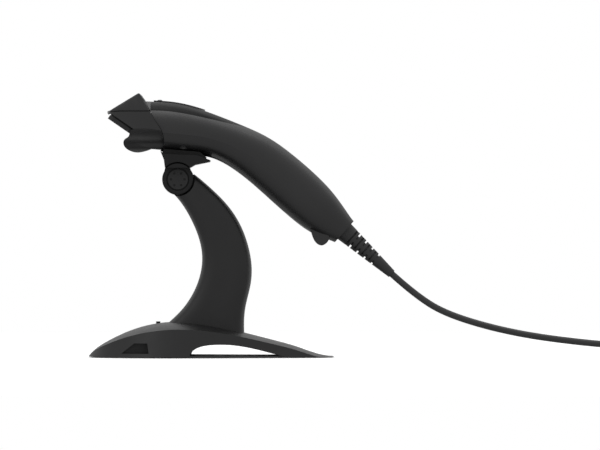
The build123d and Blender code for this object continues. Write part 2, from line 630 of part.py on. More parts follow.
def head_plan(grow=0.0):
    """The head seen from above."""
    half = HEAD_WIDTH / 2 + grow
    tip = PIVOT_X + HOOD_TIP[0] - grow
    shoulder = BODY_SHOULDER / 2 + 1.2 + grow
    rear = PIVOT_X - 8.0
    corner = 7.0
    edges = []
    nose = (tip, 0)
    for side in (1, -1):
        front_corner = (tip + 1.5, side * (half - corner - 2))
        flank = (tip + 1.5 + corner, side * (half - 1.5))
        edges.append(ThreePointArc(nose, (tip + 0.4, side * half * 0.45), front_corner))
        edges.append(ThreePointArc(front_corner, (tip + 3.8, side * (half - 3.7)), flank))
        edges.append(Spline(flank, (tip + 22, side * half), (rear, side * shoulder)))
    edges.append(Line((rear, shoulder), (rear, -shoulder)))
    return extrude(Plane.XY * make_face(edges), amount=WIDE * 2)


def head_front_view(grow=0.0):
    """The head seen from the front: straight flanks that tuck in to the chin."""
    half = HEAD_WIDTH / 2 + 1 + grow
    chin = CHIN_WIDTH / 2 + grow
    z = PIVOT_Z
    edges = []
    for side in (1, -1):
        flank = Spline((side * half, z + 41), (side * (half - 3.0), z + 35), (side * (chin + 5), z + 29.5),
                       (side * (chin - 1), z + 25), tangents=[(0, -1), (-side * 0.3, -1)])
        low = Spline((side * (chin - 1), z + 25), (side * (chin - 6), z + 21.4), (0, z + 19.2 - grow),
                     tangents=[(-side * 0.3, -1), (-side, 0)])
        edges += [Line((side * half, z + 80), (side * half, z + 41)), flank, low]
    edges.append(Line((half, z + 80), (-half, z + 80)))
    face = Plane(origin=(-WIDE, 0, 0), x_dir=(0, 1, 0), z_dir=(1, 0, 0)) * make_face(edges)
    return extrude(face, amount=2 * WIDE)


def head_block():
    """The head in front of the body, hood excluded."""
    return side_prism(head_outline(), WIDE) & head_plan() & head_front_view()


def hood_block():
    """The wedge-shaped hood over the window."""
    heel = (HOOD_REAR[0] + 3.0, HOOD_SEAM_Z)
    face = polygon(from_pivot([HOOD_TIP, HOOD_APEX, HOOD_REAR, heel, (HOOD_SEAM_X, HOOD_SEAM_Z)]))
    return side_prism(face, WIDE) & head_plan()


def window_plane(depth):
    """A plane on the slanted window face, moved outwards by depth; X is across the scanner."""
    front, rear = from_pivot([FACE_FRONT, FACE_REAR])
    along = Vector(rear[0] - front[0], 0, rear[1] - front[1]).normalized()
    outward = Vector(along.Z, 0, -along.X)
    middle = Vector((front[0] + rear[0]) / 2, 0, (front[1] + rear[1]) / 2)
    return Plane(origin=middle + outward * depth, x_dir=(0, 1, 0), z_dir=outward)


def lower_half_space():
    """Everything under the shells' seam."""
    return Box(4 * WIDE, 2 * WIDE, 4 * WIDE) - upper_zone()


def foot_outline():
    """Side outline of the rear foot, sunk into the handle's underside."""
    outline = from_pivot(FOOT_PAD)
    return [Spline(*outline, outline[0])]


def grown_scanner(gap):
    """The scanner's underside moved outwards by a gap, for the cradle to fit."""
    return body_block(-gap)


def housing_screw(x, y, z, along):
    """Screw, counterbore and boss of one housing screw, from its head's seat."""
    plane = Plane(origin=(x + PIVOT_X, y, z + PIVOT_Z), x_dir=(0, 1, 0), z_dir=(along[0], 0, along[1]))
    screw = extrude(plane * Circle(SCREW_RADIUS), amount=HOUSING_SCREW_LENGTH)
    screw += extrude(plane * Circle(SCREW_HEAD_RADIUS), amount=-SCREW_HEAD_HEIGHT)
    bore = extrude(plane * Circle(SCREW_HEAD_RADIUS + 0.4), amount=-16.0)
    boss = extrude(plane * Circle(SCREW_HEAD_RADIUS + 2.0), amount=60, both=True)
    return screw, bore, boss


def build_head(front):
    """Hood, bezel, window with its rim, chin bumper and sensor lens."""
    head = head_block()
    hood = hood_block() & front
    hood_core = (Pos(HEAD_WALL, 0, -HEAD_WALL) * hood) & (Pos(-HEAD_WALL, 0, 0) * hood) & head_plan(-HEAD_WALL)
    bezel = (head & front) - hood
    core = (Pos(HEAD_WALL, 0, HEAD_WALL) * head) & head_front_view(-HEAD_WALL) & head_plan(-HEAD_WALL)
    front_side = extrude(window_plane(-HEAD_WALL) * Rectangle(WIDE * 2, WIDE * 2), amount=-WIDE)
    core &= front_side
    bezel -= core
    groove = Pos(0, 0, PIVOT_Z + HOOD_SEAM_Z) * Box(2 * WIDE, WIDE, HOOD_GROOVE, align=(
        Align.CENTER, Align.CENTER, Align.MAX)) - head_plan(-HOOD_GROOVE_DEPTH)
    bezel -= groove
    hood -= hood_core

    length = math.dist(FACE_FRONT, FACE_REAR)
    rim_size = (HEAD_WIDTH - 5.0, length + 2.0)
    pane_size = (rim_size[0] - 2 * RIM_BORDER, rim_size[1] - 2 * RIM_BORDER)
    ledge = 1.5
    pane_depth = RIM_GROOVE + RIM_THICKNESS - WINDOW_THICKNESS - WINDOW_RECESS
    rim = extrude(window_plane(RIM_GROOVE) * RectangleRounded(*rim_size, 4.0), amount=RIM_THICKNESS)
    rim_neck = RectangleRounded(rim_size[0] - 5, rim_size[1] - 0.6, 3.0)
    rim += extrude(window_plane(0) * rim_neck, amount=RIM_GROOVE)
    opening = extrude(window_plane(-HEAD_WALL - 4) * RectangleRounded(*pane_size, 2.0), amount=WIDE)
    seat_size = (pane_size[0] + 2 * ledge, pane_size[1] + 2 * ledge)
    rim -= opening
    rim -= extrude(window_plane(pane_depth) * RectangleRounded(*seat_size, 3.0), amount=WIDE)
    pane = extrude(window_plane(pane_depth) * RectangleRounded(*[size - SNUG for size in seat_size], 3.0),
                   amount=WINDOW_THICKNESS)
    pane_room = extrude(window_plane(0) * RectangleRounded(*seat_size, 3.0), amount=RIM_GROOVE + RIM_THICKNESS)
    bezel = bezel - opening - rim - pane_room

    edge = from_pivot(BUMPER_EDGE)
    chin_zone = side_prism(curved(edge, [(edge[-1][0], 0), (edge[0][0], 0)]), WIDE)
    bumper_core = (Pos(BUMPER_THICKNESS, 0, BUMPER_THICKNESS) * head) & head_front_view(-BUMPER_THICKNESS)
    bumper = (head & front & chin_zone) - bumper_core
    bezel -= bumper
    lens_plane = axis_plane(from_pivot([LENS_PLACE])[0], (-0.95, 0.3))
    lens_tool = extrude(lens_plane * SlotOverall(LENS_LENGTH, LENS_WIDTH), amount=4.0, both=True)
    lens = lens_tool & head & front
    bezel -= lens_tool
    bumper -= lens_tool
    export("hood", hood)
    export("front_bezel", bezel)
    export("window_rim", rim)
    export("scan_window", pane)
    export("chin_bumper", bumper)
    export("sensor_lens", lens)
    return head


def trigger_outline(grow=0.0):
    """The trigger seen from above, from its rounded front to its hinge."""
    length = TRIGGER_LENGTH + 2 * grow
    middle = PIVOT_X + TRIGGER_HINGE_X - TRIGGER_LENGTH / 2
    sketch = Plane.XY.offset(PIVOT_Z + 38.0) * Pos(middle, 0) * RectangleRounded(
        length, TRIGGER_WIDTH + 2 * grow, TRIGGER_WIDTH / 2 - 1.5 + grow)
    return extrude(sketch, amount=WIDE)


def build_shells(screws):
    """Upper and lower shell, inlay, trigger, status light, label, rear foot."""
    above = upper_zone()
    body = body_block() - front_zone(HEAD_SEAM_GAP)
    tail_plane = axis_plane(from_pivot([BOOT_START])[0], BOOT_DIRECTION)
    tail_wall = extrude(tail_plane * Rectangle(60, 60), amount=-TAIL_WALL) + extrude(
        tail_plane * Rectangle(60, 60), amount=60)
    cavity = body_block(SHELL_WALL) - tail_wall
    boot_hole = extrude(tail_plane * Circle(BOOT_NECK_RADIUS), amount=TAIL_WALL + 1, both=True)
    body -= boot_hole + extrude(tail_plane * Rectangle(60, 60), amount=60)
    under_inlay = body_block(INLAY_THICKNESS)
    line = from_pivot(INLAY_EDGE)
    inlay_zone = side_prism(curved(line, [(line[-1][0], WIDE * 2), (line[0][0], WIDE * 2)]), WIDE)
    inlay = (body & inlay_zone) - under_inlay
    upper = (body & above) - cavity - inlay
    lower = (body - above) - cavity

    trigger_hole = trigger_outline(JOINT_GAP)
    raised = body_block(-TRIGGER_RISE)
    trigger_low = body_block(TRIGGER_THICKNESS)
    trigger = (raised & trigger_outline()) - trigger_low
    inlay -= trigger_hole
    upper -= trigger_hole
    light_place = Pos(PIVOT_X + LIGHT_X, 0, PIVOT_Z + LIGHT_Z)
    light = light_place * Cylinder(LIGHT_RADIUS, LIGHT_LENGTH, align=(Align.CENTER, Align.CENTER, Align.MAX))
    light += light_place * scale(Sphere(LIGHT_RADIUS), (1, 1, LIGHT_DOME))
    light_hole = light_place * Cylinder(LIGHT_RADIUS + JOINT_GAP, 30)
    trigger -= light_hole

    label_plane = axis_plane(from_pivot([LABEL_PLACE])[0], LABEL_NORMAL)
    label_tool = extrude(label_plane * RectangleRounded(LABEL_WIDTH, LABEL_LENGTH, 1.5), amount=8.0, both=True)
    label = (body & label_tool & lower_half_space()) - body_block(LABEL_THICKNESS)
    lower -= label
    foot_zone = extrude(Plane.XZ * make_face(foot_outline()), amount=FOOT_PAD_WIDTH / 2, both=True)
    foot = foot_zone - body_block()
    bosses = Compound([screw[2] for screw in screws]) & cavity
    upper += bosses & above
    lower += bosses - above
    for shank, bore, boss in screws:
        upper -= shank
        lower -= shank + bore
        label -= bore
    lugs = []
    pin_x, pin_z = from_pivot([(TRIGGER_PIN_X, TRIGGER_PIN_Z)])[0]
    reach = TRIGGER_WIDTH / 2 + 2.8
    for side in (1, -1):
        lug = Pos(pin_x, side * (reach - 0.9), pin_z - 0.6) * Box(5, 2.8, 5.6)
        post = Pos(PIVOT_X + SWITCH_BOARD_X, side * SWITCH_POST_Y, PIVOT_Z + SWITCH_BOARD_Z) * Cylinder(
            BOARD_POST_RADIUS, 40, align=(Align.CENTER, Align.CENTER, Align.MIN))
        lugs.append((lug & body_block(INLAY_THICKNESS)) + (post & cavity & above))
    for lug in lugs:
        upper += lug
    pin = y_cylinder(TRIGGER_PIN_RADIUS, -reach, reach, pin_x, pin_z)
    upper -= pin
    trigger += Pos(pin_x, 0, pin_z) * Box(4.0, TRIGGER_WIDTH - 4.0, 3.0)
    trigger -= y_cylinder(TRIGGER_PIN_RADIUS + PIVOT_FIT, -WIDE, WIDE, pin_x, pin_z)
    supports = board_posts() & cavity
    lower += supports - above
    export("trigger_pin", pin)
    export("upper_shell", upper)
    export("lower_shell", lower)
    export("top_inlay", inlay)
    export("trigger_button", trigger)
    export("status_light", light)
    export("label_plate", label)
    export("rear_foot", foot)
    export("housing_screws", Compound([screw[0] for screw in screws]))


# ---- inside the scanner ---------------------------------------------------
def board_plane(along, across=0.0, lift=0.0):
    """A plane on the main board: X across the scanner, Y towards the tail, Z up from the board."""
    direction = Vector(BOARD_DIRECTION[0], 0, BOARD_DIRECTION[1]).normalized()
    normal = Vector(-direction.Z, 0, direction.X)
    start = Vector(BOARD_START[0] + PIVOT_X, across, BOARD_START[1] + PIVOT_Z)
    origin = start + direction * along + normal * lift
    return Plane(origin=origin, x_dir=(0, -1, 0), z_dir=normal)


def board_posts():
    """Posts under the main board's four corners."""
    posts = []
    for along in (5.0, BOARD_LENGTH - 5.0):
        for side in (1, -1):
            plane = board_plane(along, side * (BOARD_WIDTH / 2 - 4.0))
            posts.append(extrude(plane * Circle(BOARD_POST_RADIUS), amount=-WIDE))
    return Compound(posts)


def build_electronics(screws):
    """Main board with its jack and beeper, switch board with trigger switch and lamp."""
    middle = BOARD_LENGTH / 2
    board = extrude(board_plane(middle) * RectangleRounded(BOARD_WIDTH, BOARD_LENGTH, 2.0),
                    amount=BOARD_THICKNESS)
    for along, across, width, length, height in CHIPS:
        chip = board_plane(along, across, BOARD_THICKNESS) * Rectangle(width, length)
        board += extrude(chip, amount=height)
    for shank, bore, boss in screws:
        board -= offset_boss(boss)
    beeper_plane = board_plane(*BEEPER_PLACE, BOARD_THICKNESS)
    beeper = extrude(beeper_plane * Circle(BEEPER_RADIUS), amount=BEEPER_HEIGHT)
    beeper -= extrude(beeper_plane.offset(BEEPER_HEIGHT - 1.0) * Circle(BEEPER_HOLE_RADIUS), amount=1.0)
    width, length, height = JACK_SIZE
    jack_plane = board_plane(BOARD_LENGTH - JACK_FROM_END, 0.0, BOARD_THICKNESS)
    jack = extrude(jack_plane * Rectangle(width, length), amount=height)
    mouth = Plane(origin=jack_plane.origin + jack_plane.z_dir * height / 2, x_dir=jack_plane.x_dir,
                  z_dir=jack_plane.y_dir)
    jack -= extrude(mouth * Rectangle(*JACK_MOUTH), amount=-length)
    x, z = from_pivot([(SWITCH_BOARD_X, SWITCH_BOARD_Z)])[0]
    up = (Align.CENTER, Align.CENTER, Align.MIN)
    down = (Align.CENTER, Align.CENTER, Align.MAX)
    switch_board = Pos(x, 0, z) * Box(SWITCH_BOARD_LENGTH, 2 * SWITCH_POST_Y + 6, SWITCH_BOARD_THICKNESS,
                                      align=down)
    lamp = Pos(PIVOT_X + LIGHT_X, 0, z) * Box(2.0, 2.0, 0.9, align=up)
    switch_place = Pos(x + SWITCH_OFFSET_X, 0, z)
    switch = switch_place * Box(SWITCH_SIDE, SWITCH_SIDE, SWITCH_HEIGHT, align=up)
    switch += switch_place * Pos(0, 0, SWITCH_HEIGHT) * Cylinder(PLUNGER_RADIUS, PLUNGER_HEIGHT, align=up)
    export("main_board", board)
    export("beeper", beeper)
    export("cord_jack", jack)
    export("switch_board", switch_board)
    export("status_lamp", lamp)
    export("trigger_switch", switch)


def offset_boss(boss):
    """A screw boss grown by a gap, as a hole for it."""
    return offset(boss, amount=JOINT_GAP)


def build_engine():
    """Laser engine: chassis, laser module, swinging mirror on its shaft, drive coil and detector."""
    x, z = from_pivot([ENGINE])[0]
    up = (Align.CENTER, Align.CENTER, Align.MIN)
    length, width, wall = ENGINE_LENGTH, ENGINE_WIDTH, ENGINE_WALL
    floor = Pos(x, 0, z) * Box(length, width, wall, align=up)
    walls = Pos(x + (length - wall) / 2, 0, z) * Box(wall, width, ENGINE_REAR_HEIGHT, align=up)
    for side in (1, -1):
        walls += Pos(x, side * (width - wall) / 2, z) * Box(length, wall, ENGINE_SIDE_HEIGHT, align=up)
    mirror_x = x + MIRROR_OFFSET_X
    bridge = Pos(x + 5.5, 0, z + ENGINE_REAR_HEIGHT) * Box(13.0, 7.0, BRIDGE_THICKNESS, align=up)
    bearing = Pos(mirror_x, 0, z) * Cylinder(MIRROR_SHAFT + MIRROR_FIT, WIDE)
    holder = Pos(mirror_x, -13.0, z + wall) * Box(10.0, 8.0, 11.0, align=up)
    laser = y_cylinder(LASER_RADIUS, LASER_ENDS[0], LASER_ENDS[1], mirror_x, z + LASER_HEIGHT)
    chassis = floor + walls + bridge + holder - bearing - laser
    place = Pos(mirror_x, 0, z)
    turned = Rot(0, 0, MIRROR_ANGLE)
    shaft = place * Pos(0, 0, 0.3) * Cylinder(MIRROR_SHAFT, ENGINE_REAR_HEIGHT + 1.2, align=up)
    plate = place * Pos(0, 0, wall + 0.6) * turned * Box(*MIRROR_SIZE, align=up)
    magnet = place * Pos(0, 0, wall + 3.0) * turned * Pos(2.0, 0, 0) * Box(3.0, 4.0, 4.0, align=up)
    coil = place * Pos(0, 0, wall) * turned * Pos(7.0, 0, 0) * Box(3.6, 7.0, 8.0, align=up)
    detector_place = Pos(x - 9.0, 12.0, z + wall) * Rot(0, 0, DETECTOR_ANGLE)
    detector = detector_place * Box(1.2, 9.0, 9.0, align=up)
    detector += detector_place * Pos(1.2, 0, 2.5) * Box(1.4, 4.0, 4.0, align=up)
    export("engine_chassis", chassis)
    export("laser_module", laser)
    export("scan_mirror", shaft + plate + magnet)
    export("mirror_coil", coil)
    export("detector_board", detector)


# ---- cord -----------------------------------------------------------------
# route of the un-coiled stretch, from the strain relief's end to the coil
CORD_ROUTE = [(133.8, 0, 61.7), (152.5, 0, 44.9), (176.5, 0, 30.9), (221.0, -2.5, 18.4), (269.0, -2.0, 11.4),
              (317.0, 0, 7.5)]
TAIL_ROUTE = [(364.0, 46.0, PLUG_THICKNESS / 2), (364.0, 63.0, PLUG_THICKNESS / 2)]


def build_boot():
    """The slotted strain relief, clamped in the handle's end wall."""
    plane = axis_plane(from_pivot([BOOT_START])[0], BOOT_DIRECTION)
    inner = -TAIL_WALL
    outline = Polyline((0, inner - BOOT_FLANGE), (BOOT_FLANGE_RADIUS, inner - BOOT_FLANGE),
                       (BOOT_FLANGE_RADIUS, inner), (BOOT_NECK_RADIUS, inner), (BOOT_NECK_RADIUS, 0),
                       (BOOT_BIG_RADIUS, 0), (BOOT_BIG_RADIUS - 0.5, BOOT_COLLAR),
                       (BOOT_SMALL_RADIUS, BOOT_LENGTH), (0, BOOT_LENGTH), close=True)
    boot = revolve(Plane.XZ * make_face(outline), Axis.Z)
    taper = (BOOT_BIG_RADIUS - 0.5 - BOOT_SMALL_RADIUS) / (BOOT_LENGTH - BOOT_COLLAR)
    pitch = (BOOT_LENGTH - BOOT_COLLAR - BOOT_PLAIN_END) / BOOT_SLOTS
    for index in range(BOOT_SLOTS):
        place = BOOT_COLLAR + pitch * index + 0.4
        outer = BOOT_BIG_RADIUS - taper * (place - BOOT_COLLAR)
        floor = outer - (outer - CORD_RADIUS) * BOOT_SLOT_DEPTH
        slot = Cylinder(outer + 1, BOOT_SLOT_WIDTH, align=(Align.CENTER, Align.CENTER, Align.MIN))
        slot -= Cylinder(floor, 4 * BOOT_SLOT_WIDTH)
        slot -= Rot(0, 0, 90 * (index % 2)) * Box(BOOT_WEB, 4 * BOOT_BIG_RADIUS, 4 * BOOT_SLOT_WIDTH)
        boot -= Pos(0, 0, place) * slot
    export("strain_relief", plane.location * boot)


def cord_tube(route, name):
    """A round cord along straight runs joined by arcs as large as the runs allow."""
    points = [Vector(*point) for point in route]
    radii = []
    for before, corner, after in zip(points, points[1:], points[2:]):
        first = corner - before
        second = after - corner
        half_turn = math.radians(first.get_angle(second)) / 2
        radii.append(0.45 * min(first.length, second.length) / math.tan(half_turn))
    path = FilletPolyline(*points, radius=radii) if radii else Line(*points)
    section = Plane(origin=path @ 0, z_dir=path % 0) * Circle(CORD_RADIUS)
    tube = sweep(section, path=path)
    print(name, "radii", [round(radius) for radius in radii], "length", round(path.length, 1),
          "volume ratio", round(tube.volume / (math.pi * CORD_RADIUS ** 2 * path.length), 3))
    return tube


def build_cord():
    """Cord, its put-away coil with a tie, and the USB plug."""
    export("cord", cord_tube(CORD_ROUTE, "cord"))
    export("cord_tail", cord_tube(TAIL_ROUTE, "tail"))
    x, y = COIL_CENTRE
    section = Pos(COIL_RADIUS, COIL_BUNDLE_HEIGHT / 2) * RectangleRounded(
        COIL_BUNDLE_WIDTH, COIL_BUNDLE_HEIGHT, COIL_CORNER)
    coil = Pos(x, y, 0) * revolve(Plane.XZ * section, Axis.Z)
    tie_place = Pos(x, y + COIL_RADIUS, COIL_BUNDLE_HEIGHT / 2)
    tie = tie_place * (Box(TIE_WIDTH, COIL_BUNDLE_WIDTH + TIE_WALL, COIL_BUNDLE_HEIGHT)
                       - Box(WIDE, COIL_BUNDLE_WIDTH - 2 * TIE_WALL, COIL_BUNDLE_HEIGHT - 2 * TIE_WALL))
    coil -= tie
    export("cord_coil", coil)
    export("cord_tie", tie)

    end = TAIL_ROUTE[-1]
    plane = Plane(origin=(end[0], end[1], PLUG_THICKNESS / 2), x_dir=(1, 0, 0), z_dir=(0, 1, 0))
    overmould = extrude(plane * RectangleRounded(PLUG_WIDTH, PLUG_THICKNESS, PLUG_CORNER), amount=PLUG_LENGTH)
    front = plane.offset(PLUG_LENGTH)
    shell = extrude(front * Rectangle(USB_WIDTH, USB_HEIGHT), amount=USB_LENGTH)
    inside = (USB_WIDTH - 2 * USB_WALL, USB_HEIGHT - 2 * USB_WALL)
    shell -= extrude(front * Rectangle(*inside), amount=WIDE)
    tongue = front * Pos(0, inside[1] / 2 - USB_TONGUE / 2) * Rectangle(inside[0], USB_TONGUE)
    export("plug_overmould", overmould)
    export("plug_shell", shell)
    export("plug_tongue", extrude(tongue, amount=USB_LENGTH - 1.0))


# ---- output ---------------------------------------------------------------
def export(name, shape):
    """Write one sub-part."""
    solids = shape.solids()
    result = solids[0] if len(solids) == 1 else Compound(solids)
    print(name, len(solids), round(sum(s.volume for s in solids)))
    export_step(result, os.path.join("parts", name + ".step"))


def main():
    """Build and write every piece."""
    os.makedirs("parts", exist_ok=True)
    base_outer = base_block()
    build_base(base_outer)
    build_arm(base_outer)
    bolt, nut = build_pivot()
    build_cradle(bolt, nut)
    front = front_zone()
    screws = [housing_screw(*screw) for screw in SCREWS]
    build_head(front)
    build_shells(screws)
    build_electronics(screws)
    build_engine()
    build_boot()
    build_cord()


main()
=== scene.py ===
"""Looks of a corded handheld barcode scanner lying in the cradle of its presentation stand.

Lengths are metres unless a name says millimetres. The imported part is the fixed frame: this script
dresses its nodes, models the pieces that need more shape, and lays the cord along its route.
"""
import logging
import math
from dataclasses import dataclass
from enum import Enum
from typing import Sequence

import bpy
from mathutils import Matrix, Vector


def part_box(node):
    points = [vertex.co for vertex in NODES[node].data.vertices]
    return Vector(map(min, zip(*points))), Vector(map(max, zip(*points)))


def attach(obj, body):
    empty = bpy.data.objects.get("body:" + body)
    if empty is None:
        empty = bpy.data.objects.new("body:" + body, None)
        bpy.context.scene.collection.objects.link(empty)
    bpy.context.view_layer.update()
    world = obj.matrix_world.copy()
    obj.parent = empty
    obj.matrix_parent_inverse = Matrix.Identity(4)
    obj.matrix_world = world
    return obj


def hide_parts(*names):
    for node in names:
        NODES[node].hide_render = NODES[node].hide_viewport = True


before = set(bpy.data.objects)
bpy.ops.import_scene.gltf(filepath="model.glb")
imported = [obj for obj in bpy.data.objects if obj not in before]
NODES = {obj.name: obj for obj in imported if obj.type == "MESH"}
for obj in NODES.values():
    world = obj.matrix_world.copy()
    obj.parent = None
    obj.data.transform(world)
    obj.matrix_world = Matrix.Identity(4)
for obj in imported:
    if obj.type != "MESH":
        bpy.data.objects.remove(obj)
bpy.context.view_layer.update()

MM = 0.001
WELD = 0.001 * MM           # points closer than this are one point
SMOOTH_DEGREES = 32         # faces that meet at less than this shade as one surface
RELIEF_DEPTH = 0.05 * MM    # how deep the finest surface relief is
BROAD_PATCH_MM = 22.0       # size of the soft patches of lighter and darker colour
SMEAR_MM = 9.0              # size of the patches of higher and lower gloss
GLOSS_RANGE = 0.06          # how far roughness wanders either way
LOG = logging.getLogger("scanner")


# ---- finishes -------------------------------------------------------------
class Texture(Enum):
    """How a moulded or made surface is broken up."""

    SPARK = "fine spark-eroded mould texture"
    POLISHED = "polished, with faint handling marks"
    RUBBER = "soft matt rubber"
    METAL = "rolled or plated metal"
    BOARD = "circuit board laminate"
    CLOTH = "looped tape"


@dataclass(frozen=True)
class Finish:
    """One surface finish and how to build it as a node material."""

    name: str
    colour: tuple[float, float, float]
    texture: Texture = Texture.SPARK
    roughness: float = 0.5
    metallic: float = 0.0
    specular: float = 0.5
    grain_mm: float = 0.35
    relief: float = 0.12
    mottle: float = 0.10
    transmission: float = 0.0

    def build(self) -> bpy.types.Material:
        """Build the material.

        Returns:
            The node material, made once for each finish.
        """
        title = self.name + "_finish"
        known = bpy.data.materials.get(title)
        if known:
            return known
        material = bpy.data.materials.new(title)
        material.use_nodes = True
        tree = material.node_tree
        shader = tree.nodes["Principled BSDF"]
        shader.inputs["Metallic"].default_value = self.metallic
        shader.inputs["Specular IOR Level"].default_value = self.specular
        shader.inputs["Transmission Weight"].default_value = self.transmission
        place = tree.nodes.new("ShaderNodeTexCoord")
        self._colour(tree, shader, place)
        self._surface(tree, shader, place)
        return material

    def _noise(self, tree: bpy.types.NodeTree, place: bpy.types.Node, size_mm: float,
               detail: float) -> bpy.types.Node:
        """Add a noise in object space.

        Args:
            tree: The material's node tree.
            place: Its texture coordinate node.
            size_mm: The size of one feature.
            detail: How many finer layers it has.

        Returns:
            The noise node.
        """
        noise = tree.nodes.new("ShaderNodeTexNoise")
        noise.inputs["Scale"].default_value = 1.0 / (size_mm * MM)
        noise.inputs["Detail"].default_value = detail
        tree.links.new(place.outputs["Object"], noise.inputs["Vector"])
        return noise

    def _colour(self, tree: bpy.types.NodeTree, shader: bpy.types.Node, place: bpy.types.Node) -> None:
        """Vary the colour softly over a few centimetres and finely with the grain."""
        broad = self._noise(tree, place, BROAD_PATCH_MM, 3.0)
        fine = self._noise(tree, place, self.grain_mm * 2.0, 1.0)
        blend = tree.nodes.new("ShaderNodeMath")
        blend.operation = "MULTIPLY_ADD"
        blend.inputs[1].default_value = 0.5
        tree.links.new(fine.outputs["Fac"], blend.inputs[0])
        tree.links.new(broad.outputs["Fac"], blend.inputs[2])
        ramp = tree.nodes.new("ShaderNodeValToRGB")
        dark = [channel * (1.0 - self.mottle) for channel in self.colour]
        light = [min(channel * (1.0 + self.mottle), 1.0) for channel in self.colour]
        ramp.color_ramp.elements[0].position = 0.45
        ramp.color_ramp.elements[0].color = (*dark, 1.0)
        ramp.color_ramp.elements[1].position = 1.05
        ramp.color_ramp.elements[1].color = (*light, 1.0)
        tree.links.new(blend.outputs[0], ramp.inputs["Fac"])
        tree.links.new(ramp.outputs["Color"], shader.inputs["Base Color"])

    def _surface(self, tree: bpy.types.NodeTree, shader: bpy.types.Node, place: bpy.types.Node) -> None:
        """Give the roughness its variation and the surface its relief."""
        smear = self._noise(tree, place, SMEAR_MM, 4.0)
        span = tree.nodes.new("ShaderNodeMapRange")
        span.inputs["To Min"].default_value = max(self.roughness - GLOSS_RANGE, 0.02)
        span.inputs["To Max"].default_value = min(self.roughness + GLOSS_RANGE, 1.0)
        tree.links.new(smear.outputs["Fac"], span.inputs["Value"])
        tree.links.new(span.outputs["Result"], shader.inputs["Roughness"])
        bump = tree.nodes.new("ShaderNodeBump")
        bump.inputs["Strength"].default_value = self.relief
        bump.inputs["Distance"].default_value = RELIEF_DEPTH
        if self.texture in (Texture.SPARK, Texture.RUBBER):
            grain = tree.nodes.new("ShaderNodeTexVoronoi")
            grain.feature = "SMOOTH_F1"
            grain.inputs["Scale"].default_value = 1.0 / (self.grain_mm * MM)
            tree.links.new(place.outputs["Object"], grain.inputs["Vector"])
            height = grain.outputs["Distance"]
        elif self.texture is Texture.METAL:
            stretch = tree.nodes.new("ShaderNodeMapping")
            stretch.inputs["Scale"].default_value = (0.06, 1.0, 1.0)
            tree.links.new(place.outputs["Object"], stretch.inputs["Vector"])
            grain = self._noise(tree, place, self.grain_mm, 3.0)
            tree.links.new(stretch.outputs["Vector"], grain.inputs["Vector"])
            height = grain.outputs["Fac"]
        elif self.texture is Texture.CLOTH:
            grain = tree.nodes.new("ShaderNodeTexWave")
            grain.inputs["Scale"].default_value = 0.2 / (self.grain_mm * MM)
            grain.inputs["Distortion"].default_value = 2.0
            tree.links.new(place.outputs["Object"], grain.inputs["Vector"])
            height = grain.outputs["Fac"]
        else:
            height = self._noise(tree, place, self.grain_mm, 2.0).outputs["Fac"]
        tree.links.new(height, bump.inputs["Height"])
        tree.links.new(bump.outputs["Normal"], shader.inputs["Normal"])


SHELL = Finish("shell_plastic", (0.0105, 0.0105, 0.0109), roughness=0.46, specular=0.38)
HOOD = Finish("hood_plastic", (0.0100, 0.0100, 0.0104), roughness=0.42, specular=0.44)
STAND = Finish("stand_plastic", (0.0055, 0.0055, 0.0058), roughness=0.48, specular=0.34, grain_mm=0.45,
               relief=0.16)
# Cradle: the stand's plastic with a darker colour and weaker specular than the stand, painted shade for the
# shadow that falls on the neck under the scanner.
CRADLE_PAINTED_SHADE = Finish("cradle_plastic_painted_shade", (0.0040, 0.0040, 0.0042), roughness=0.50, specular=0.22, grain_mm=0.45,
                relief=0.16)
GLOSS = Finish("gloss_black", (0.0012, 0.0012, 0.0014), Texture.POLISHED, 0.34, specular=0.04,
               grain_mm=3.0, relief=0.02)
TRIGGER = Finish("trigger_plastic", (0.0240, 0.0240, 0.0248), roughness=0.34, relief=0.08)
LIGHT_GUIDE = Finish("status_guide", (0.10, 0.105, 0.11), Texture.POLISHED, 0.22, transmission=0.4,
                     grain_mm=2.0, relief=0.02)
WINDOW = Finish("window_red", (0.10, 0.006, 0.008), Texture.POLISHED, 0.06, specular=0.6, grain_mm=4.0,
                relief=0.01, transmission=0.7)
RUBBER = Finish("black_rubber", (0.0075, 0.0075, 0.0078), Texture.RUBBER, 0.62, specular=0.35, grain_mm=0.5)
CORD = Finish("cord_jacket", (0.0105, 0.0105, 0.0110), Texture.RUBBER, 0.50, specular=0.45, grain_mm=0.3)
BOOT = Finish("boot_rubber", (0.0080, 0.0080, 0.0083), Texture.RUBBER, 0.52, specular=0.42, grain_mm=0.4)
LABEL = Finish("label_film", (0.030, 0.030, 0.031), Texture.POLISHED, 0.38, grain_mm=1.2, relief=0.04)
STEEL = Finish("plated_steel", (0.55, 0.55, 0.56), Texture.METAL, 0.30, metallic=1.0, grain_mm=0.4, relief=0.06)
COATED = Finish("coated_steel", (0.010, 0.010, 0.010), Texture.METAL, 0.55, grain_mm=0.5)
IRON = Finish("cast_iron", (0.09, 0.09, 0.09), roughness=0.7, metallic=0.7, grain_mm=1.2, relief=0.3)
BOARD = Finish("board_laminate", (0.012, 0.075, 0.030), Texture.BOARD, 0.35, grain_mm=0.8, mottle=0.3)
NYLON = Finish("moulded_nylon", (0.012, 0.012, 0.012), roughness=0.5)
WASHER = Finish("washer_nylon", (0.45, 0.44, 0.41), roughness=0.55)
BRASS = Finish("laser_brass", (0.55, 0.38, 0.14), Texture.METAL, 0.28, metallic=1.0, grain_mm=0.4)
MIRROR = Finish("coated_mirror", (0.85, 0.85, 0.86), Texture.POLISHED, 0.04, metallic=1.0, grain_mm=3.0,
                relief=0.0)
COPPER = Finish("wound_copper", (0.60, 0.24, 0.12), Texture.CLOTH, 0.32, metallic=1.0, grain_mm=0.2,
                relief=0.4)
TAPE = Finish("loop_tape", (0.010, 0.010, 0.011), Texture.CLOTH, 0.85, specular=0.2, grain_mm=0.6,
              relief=0.6)
